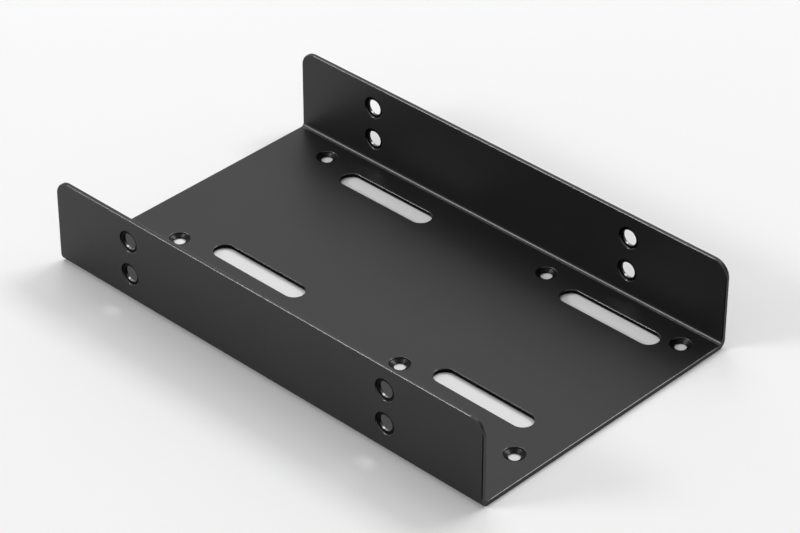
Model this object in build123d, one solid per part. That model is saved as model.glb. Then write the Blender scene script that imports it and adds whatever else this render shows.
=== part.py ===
from build123d import *
import os

# Drive bay adapter bracket: one steel sheet folded into a shallow U, in millimetres.
# +X runs along the bracket, +Y from the near flange to the far flange, +Z up.
# The origin is on the underside of the base, in the middle of its outline.

# The folded sheet, with its coating
bracket_length = 168.0
bracket_width = 101.6
flange_height = 28.6
sheet_thickness = 1.4
inner_bend_radius = 1.2
flange_corner_radius = 5.0
edge_rounding = 0.3

# Side holes: two pairs, one above the other, in each flange
side_hole_spacing = 101.6
side_hole_centre_x = -2.6
side_hole_lower_height = 9.7
side_hole_row_rise = 11.2
side_hole_bore = 5.0
side_hole_mouth = 7.0
side_hole_recess_floor = 6.6
side_hole_recess_depth = 0.4
side_hole_step_slope = 0.1

# Dished screw holes: three rows of two in the base
front_row_x = 75.3
middle_row_x = 24.5
back_row_x = -65.9
far_screw_y = 41.6
drive_screw_spacing = 61.72
front_screw_spacing = 69.9
screw_bore = 3.6
screw_land = 0.45
screw_seat = 6.2
screw_seat_wall = 0.4

# Long slots: two pairs, one beside the other, in the base
slot_length = 35.8
slot_width = 6.8
front_slot_x = 52.1
back_slot_x = -36.9
near_slot_y = -15.5
far_slot_y = 37.7


def folded_sheet():
    """The U section, with its rounded bends, drawn out along the bracket."""
    inside_width = bracket_width - 2 * sheet_thickness
    outside = Pos(0, flange_height / 2) * Rectangle(bracket_width, flange_height)
    outside = fillet(outside.vertices().group_by(Axis.Y)[0], inner_bend_radius + sheet_thickness)
    inside = Pos(0, sheet_thickness + flange_height / 2) * Rectangle(inside_width, flange_height)
    inside = fillet(inside.vertices().group_by(Axis.Y)[0], inner_bend_radius)
    return extrude(Plane.YZ * (outside - inside), bracket_length / 2, both=True)


def crosses_sheet(edge):
    """True for a short edge that runs from one face of a flange to the other."""
    direction = edge % 0.5
    mainly_across = abs(direction.Y) > abs(direction.X) + abs(direction.Z)
    return edge.length < 2 * sheet_thickness and mainly_across


def trim_flanges(sheet):
    """The top corners of the flanges are cut round, and the sheet's outline is deburred."""
    top_corners = sheet.edges().filter_by(crosses_sheet).group_by(Axis.Z)[-1]
    sheet = fillet(top_corners, flange_corner_radius)

    def on_outline(edge):
        middle = edge @ 0.5
        at_end = abs(middle.X) > bracket_length / 2 - flange_corner_radius
        at_top = middle.Z > flange_height - flange_corner_radius
        return (at_end or at_top) and not crosses_sheet(edge)

    return fillet(sheet.edges().filter_by(on_outline), edge_rounding)


def side_hole_cutter():
    """A tapered recess from the origin along +Y, then a sloped step down to a narrower bore."""
    mouth = side_hole_mouth / 2
    bore = side_hole_bore / 2
    step_end = side_hole_recess_depth + side_hole_step_slope
    profile = Polyline(
        (0, -sheet_thickness),
        (mouth, -sheet_thickness),
        (mouth, 0),
        (side_hole_recess_floor / 2, side_hole_recess_depth),
        (bore, step_end),
        (bore, 2 * sheet_thickness),
        (0, 2 * sheet_thickness),
        close=True,
    )
    return revolve(make_face(profile), Axis.Y)


def side_holes():
    """Both flanges are cut from the same side, so the recesses all open towards -Y."""
    cutter = side_hole_cutter()
    near_face = -bracket_width / 2
    far_face = bracket_width / 2 - sheet_thickness
    cuts = []
    for face_y in (near_face, far_face):
        for end in (-1, 1):
            for row in (0, 1):
                x = side_hole_centre_x + end * side_hole_spacing / 2
                z = side_hole_lower_height + row * side_hole_row_rise
                cuts.append(Pos(x, face_y, z) * cutter)
    return cuts


def screw_hole_cutter():
    """A dished seat for a screw head, open at the top, over a short bore."""
    seat = screw_seat / 2
    bore = screw_bore / 2
    profile = Polyline(
        (0, -sheet_thickness),
        (bore, -sheet_thickness),
        (bore, screw_land),
        (seat, sheet_thickness - screw_seat_wall),
        (seat, 2 * sheet_thickness),
        (0, 2 * sheet_thickness),
        close=True,
    )
    return revolve(Plane.XZ * make_face(profile), Axis.Z)


def screw_holes():
    """Two rows have the drive's own spacing across the bracket, and the front row is wider."""
    cutter = screw_hole_cutter()
    rows = (
        (back_row_x, drive_screw_spacing),
        (middle_row_x, drive_screw_spacing),
        (front_row_x, front_screw_spacing),
    )
    cuts = []
    for row_x, spacing in rows:
        for screw_y in (far_screw_y - spacing, far_screw_y):
            cuts.append(Pos(row_x, screw_y, 0) * cutter)
    return cuts


def slots():
    """Round-ended slots through the base, side by side in two pairs."""
    outline = SlotOverall(slot_length, slot_width)
    cutter = Pos(0, 0, -sheet_thickness) * extrude(outline, 3 * sheet_thickness)
    cuts = []
    for slot_x in (back_slot_x, front_slot_x):
        for slot_y in (near_slot_y, far_slot_y):
            cuts.append(Pos(slot_x, slot_y, 0) * cutter)
    return cuts


def soften_rims(bracket):
    """Every edge where a hole or slot meets a flat face of the sheet is rounded."""
    wires = [wire for face in bracket.faces() for wire in face.inner_wires()]
    rims = [edge for wire in wires for edge in wire.edges()]
    return fillet(rims, edge_rounding)


bracket = trim_flanges(folded_sheet())
bracket = bracket - side_holes() - screw_holes() - slots()
bracket = soften_rims(bracket)

os.makedirs("parts", exist_ok=True)
export_step(bracket, "parts/bracket.step")
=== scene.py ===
import math

import bpy
from mathutils import Euler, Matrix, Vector


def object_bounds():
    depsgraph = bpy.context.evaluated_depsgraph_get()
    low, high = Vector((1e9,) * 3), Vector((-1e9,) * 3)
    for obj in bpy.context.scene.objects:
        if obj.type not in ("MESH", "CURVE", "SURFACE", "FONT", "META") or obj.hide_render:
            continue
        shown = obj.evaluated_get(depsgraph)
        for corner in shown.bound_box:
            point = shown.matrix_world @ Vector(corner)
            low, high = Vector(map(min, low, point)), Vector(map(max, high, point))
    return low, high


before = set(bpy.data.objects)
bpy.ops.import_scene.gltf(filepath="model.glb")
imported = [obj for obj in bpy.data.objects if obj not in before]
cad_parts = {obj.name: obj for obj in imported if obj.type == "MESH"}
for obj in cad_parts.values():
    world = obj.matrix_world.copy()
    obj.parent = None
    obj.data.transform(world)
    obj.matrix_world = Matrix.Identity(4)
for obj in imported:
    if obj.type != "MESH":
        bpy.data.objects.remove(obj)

cad_low, cad_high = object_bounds()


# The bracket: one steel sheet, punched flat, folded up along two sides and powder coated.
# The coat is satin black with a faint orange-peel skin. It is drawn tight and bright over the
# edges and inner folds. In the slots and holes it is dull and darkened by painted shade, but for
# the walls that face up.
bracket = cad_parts["bracket"]

# In metres. The corners, the folds and the outline's rim are taken a little larger than they
# are, and the rims of the holes a little shallower, so that each finish keeps to its surface.
end_x, side_y, top_z = cad_high
sheet_thickness = 0.0014
rim_depth = 0.00025
outline_depth = 0.0005
corner_size = 0.0055
fold_width = 0.0038
fold_height = 0.0034


def new_material(name):
    """A node material with its shader, and the tree's nodes and links."""
    material = bpy.data.materials.new(name)
    material.use_nodes = True
    tree = material.node_tree
    return material, tree.nodes["Principled BSDF"], tree.nodes, tree.links


coat, shader, nodes, links = new_material("satin_black_powder_coat")

place = nodes.new("ShaderNodeTexCoord")


def calculate(operation, first, second):
    """A math node fed by sockets or plain numbers, and its result."""
    node = nodes.new("ShaderNodeMath")
    node.operation = operation
    for slot, value in enumerate((first, second)):
        if isinstance(value, (int, float)):
            node.inputs[slot].default_value = value
        else:
            links.new(value, node.inputs[slot])
    return node.outputs["Value"]


def plus(first, second):
    """The sum of two values."""
    return calculate("ADD", first, second)


def minus(first, second):
    """The first value less the second."""
    return calculate("SUBTRACT", first, second)


def times(first, second):
    """The product of two values, which for two masks is where both hold."""
    return calculate("MULTIPLY", first, second)


def either(first, second):
    """The greater of two values, which for two masks is where one or both hold."""
    return calculate("MAXIMUM", first, second)


def below(value, limit):
    """A mask: 1 where a value is below its limit, and 0 elsewhere."""
    return calculate("LESS_THAN", value, limit)


def outside(mask):
    """Where a mask doesn't hold."""
    return minus(1.0, mask)


def lengths_along_axes(socket):
    """The sizes of a vector's three parts, without their signs."""
    absolute = nodes.new("ShaderNodeVectorMath")
    absolute.operation = "ABSOLUTE"
    parts = nodes.new("ShaderNodeSeparateXYZ")
    links.new(socket, absolute.inputs[0])
    links.new(absolute.outputs["Vector"], parts.inputs["Vector"])
    return parts.outputs


position = lengths_along_axes(place.outputs["Object"])
facing = lengths_along_axes(place.outputs["Normal"])

# The walls of the holes and slots lie between the sheet's two faces, clear of its outline and
# of the flanges' round corners.
clear_of_corners = below(position["X"], end_x - corner_size)
below_top = below(position["Z"], top_z - outline_depth)
clear_of_outline = times(clear_of_corners, below_top)
before_fold = below(position["Y"], side_y - fold_width)
below_fold_top = below(position["Z"], fold_height)
under_rim = below(position["Z"], sheet_thickness - rim_depth)
in_base = times(before_fold, under_rim)
from_middle = calculate("ABSOLUTE", minus(position["Y"], side_y - sheet_thickness / 2), 0.0)
under_face = below(from_middle, sheet_thickness / 2 - rim_depth)
in_flange = times(under_face, outside(below_fold_top))
in_sheet = times(either(in_base, in_flange), clear_of_outline)

# Rounded edges face between the axes, so no part of their direction comes close to 1. So do the
# folds, and the cut faces at the flanges' round corners, which are told apart by where they lie.
square_facing = 0.985
cut_face_lean = 0.17
curved = below(either(either(facing["X"], facing["Y"]), facing["Z"]), square_facing)
in_fold = times(outside(before_fold), below_fold_top)
at_top = outside(below(position["Z"], top_z - corner_size))
corner_face = times(at_top, below(facing["Y"], cut_face_lean))
edge = times(curved, outside(either(either(in_fold, in_sheet), corner_face)))
normal_parts = nodes.new("ShaderNodeSeparateXYZ")
links.new(place.outputs["Normal"], normal_parts.inputs["Vector"])
upward_tilt = normal_parts.outputs["Z"]


def facing_between(start, end):
    """0 to 1 as the upward tilt, 0 on an upright face and 1 on a level one, passes start to end."""
    ramp = nodes.new("ShaderNodeMapRange")
    ramp.inputs["From Min"].default_value = start
    ramp.inputs["From Max"].default_value = end
    links.new(upward_tilt, ramp.inputs["Value"])
    return ramp.outputs["Result"]


# Edges that face up, and walls in the flanges that face up, are kept clear of painted shade, and
# the screw seats in the base half so. Upright edges and the other walls are dull, and their colour
# is darkened with painted shade as if in shadow. What faces the floor is dull too.
fold_tilt = 0.05
edge_tilt = (0.05, 0.4)
wall_tilt = (0.35, 0.75)
underside_tilt = (-0.05, -0.45)
seat_shade_share = 0.5
faces_up = calculate("GREATER_THAN", upward_tilt, fold_tilt)
smooth_fold = times(times(in_fold, faces_up), curved)
top_edge = times(edge, facing_between(*edge_tilt))
upright_edge = minus(edge, top_edge)
flange_or_seat = outside(times(before_fold, seat_shade_share))
up_facing_wall = times(in_sheet, times(flange_or_seat, facing_between(*wall_tilt)))
dull_and_painted_shade = either(minus(in_sheet, up_facing_wall), upright_edge)
dull = either(dull_and_painted_shade, facing_between(*underside_tilt))

# The orange peel: very shallow bumps, under a millimetre apart.
peel = nodes.new("ShaderNodeTexNoise")
peel.inputs["Scale"].default_value = 1400.0
peel.inputs["Detail"].default_value = 3.0
peel.inputs["Roughness"].default_value = 0.55
links.new(place.outputs["Object"], peel.inputs["Vector"])
skin = nodes.new("ShaderNodeBump")
skin.inputs["Strength"].default_value = 0.25
skin.inputs["Distance"].default_value = 0.00002
links.new(peel.outputs["Fac"], skin.inputs["Height"])
links.new(skin.outputs["Normal"], shader.inputs["Normal"])

# The black is very slightly cloudy. Painted shade darkens it on the dull walls and upright edges.
painted_shade_strength = 0.7
cloud = nodes.new("ShaderNodeTexNoise")
cloud.inputs["Scale"].default_value = 55.0
cloud.inputs["Detail"].default_value = 4.0
links.new(place.outputs["Object"], cloud.inputs["Vector"])
tint = nodes.new("ShaderNodeValToRGB")
tint.color_ramp.elements[0].position = 0.3
tint.color_ramp.elements[0].color = (0.007, 0.007, 0.0078, 1)
tint.color_ramp.elements[1].position = 0.7
tint.color_ramp.elements[1].color = (0.009, 0.009, 0.010, 1)
links.new(cloud.outputs["Fac"], tint.inputs["Fac"])
shade = nodes.new("ShaderNodeVectorMath")
shade.operation = "SCALE"
links.new(tint.outputs["Color"], shade.inputs[0])
links.new(outside(times(dull_and_painted_shade, painted_shade_strength)), shade.inputs["Scale"])
links.new(shade.outputs["Vector"], shader.inputs["Base Color"])

# The skin makes the satin uneven. The coat is smoother where it is drawn tight, and in holes.
edge_smoothing = 0.22
wall_smoothing = 0.2
fold_smoothing = 0.1
satin = nodes.new("ShaderNodeMapRange")
satin.inputs["To Min"].default_value = 0.41
satin.inputs["To Max"].default_value = 0.47
links.new(peel.outputs["Fac"], satin.inputs["Value"])
smoother = plus(times(top_edge, edge_smoothing), times(in_sheet, wall_smoothing))
smoother = plus(smoother, times(smooth_fold, fold_smoothing))
links.new(minus(satin.outputs["Result"], smoother), shader.inputs["Roughness"])

# It shines most on the walls of the flanges' bores that face up, then on the edges of the outline
# and the rims of holes and slots, and least where it is dull.
outline_share = 0.8
rim_loss = 0.25
plain_shine = 0.5
tight_shine_gain = 0.5
dull_shine_loss = 0.45
bright_bore = times(up_facing_wall, in_flange)
edge_share = minus(outline_share, times(clear_of_outline, rim_loss))
tight = either(times(top_edge, edge_share), bright_bore)
shine = minus(plus(times(tight, tight_shine_gain), plain_shine), times(dull, dull_shine_loss))
links.new(shine, shader.inputs["Specular IOR Level"])

fold_share = 0.8
plain_index = 1.42
tight_index_gain = 0.28
dense = either(tight, times(smooth_fold, fold_share))
links.new(plus(times(dense, tight_index_gain), plain_index), shader.inputs["IOR"])

bracket.data.materials.clear()
bracket.data.materials.append(coat)


# The floor: a plain pale sheet of board that the bracket stands on.
# It is matt, very slightly mottled, and runs well past the picture on every side.
floor_size = 6.0
floor_gap = 0.00005
bpy.ops.mesh.primitive_plane_add(size=floor_size, location=(0, 0, -floor_gap))
floor = bpy.context.object
floor.name = "floor"
board, board_shader, nodes, links = new_material("pale_board")
board_shader.inputs["Roughness"].default_value = 0.9
board_place = nodes.new("ShaderNodeTexCoord")
mottle = nodes.new("ShaderNodeTexNoise")
mottle.inputs["Scale"].default_value = 9.0
mottle.inputs["Detail"].default_value = 5.0
links.new(board_place.outputs["Object"], mottle.inputs["Vector"])
board_tint = nodes.new("ShaderNodeValToRGB")
board_tint.color_ramp.elements[0].color = (0.88, 0.88, 0.88, 1)
board_tint.color_ramp.elements[1].color = (0.9, 0.9, 0.9, 1)
links.new(mottle.outputs["Fac"], board_tint.inputs["Fac"])
links.new(board_tint.outputs["Color"], board_shader.inputs["Base Color"])
floor.data.materials.append(board)


# The light: a pale studio with five soft lamps, all well clear of the bracket.
# The left one shines on the edges and folds along it, the top ones on its base and screw seats,
# and the back ones on its base, its front edge and the bores in its flanges.
def soft_lamp(name, toward, distance, width, height, power):
    """A flat lamp in a given direction from the bracket, turned to face it."""
    light = bpy.data.lights.new(name, "AREA")
    light.shape = "RECTANGLE"
    light.size = width
    light.size_y = height
    light.energy = power
    lamp = bpy.data.objects.new(name, light)
    away = Vector(toward).normalized()
    lamp.location = away * distance
    lamp.rotation_euler = away.to_track_quat("Z", "Y").to_euler()
    bpy.context.scene.collection.objects.link(lamp)


lamp_distance = 3.0
softbox_distance = 1.5
soft_lamp("left_lamp", (-0.53, -0.7, 0.474), lamp_distance, width=1.0, height=0.5, power=30)
soft_lamp("top_lamp", (-0.5, 0.28, 0.82), lamp_distance, width=1.3, height=1.3, power=13)
soft_lamp("small_top_lamp", (-0.4, -0.01, 0.92), lamp_distance, width=0.4, height=0.4, power=5.5)
soft_lamp("back_lamp", (0.06, 0.6, 0.79), lamp_distance, width=1.4, height=0.8, power=26)
soft_lamp("back_softbox", (-0.52, 0.61, 0.58), softbox_distance, width=0.8, height=0.8, power=1.9)

studio = bpy.data.worlds.new("pale_studio")
studio.use_nodes = True
air = studio.node_tree.nodes["Background"]
air.inputs["Color"].default_value = (1, 1, 1, 1)
air.inputs["Strength"].default_value = 0.44
bpy.context.scene.world = studio


# The camera: it looks down on the bracket's front near corner from just under a metre away.
# It is held upright and has a long lens.
view_azimuth = math.radians(43.82)
view_elevation = math.radians(34.68)
aim = Vector((-0.0014, 0.0069, 0.0086))
view_distance = 0.9441
focal_length_px = 3271.3
picture_width_px = 800
lens = bpy.data.cameras.new("camera")
lens.sensor_width = 36
lens.lens = focal_length_px / picture_width_px * lens.sensor_width
camera = bpy.data.objects.new("camera", lens)
camera.rotation_euler = Euler((math.pi / 2 - view_elevation, 0, view_azimuth))
backwards = camera.rotation_euler.to_matrix() @ Vector((0, 0, 1))
camera.location = aim + backwards * view_distance
bpy.context.scene.collection.objects.link(camera)
bpy.context.scene.camera = camera

bpy.context.scene.view_settings.view_transform = "Standard"
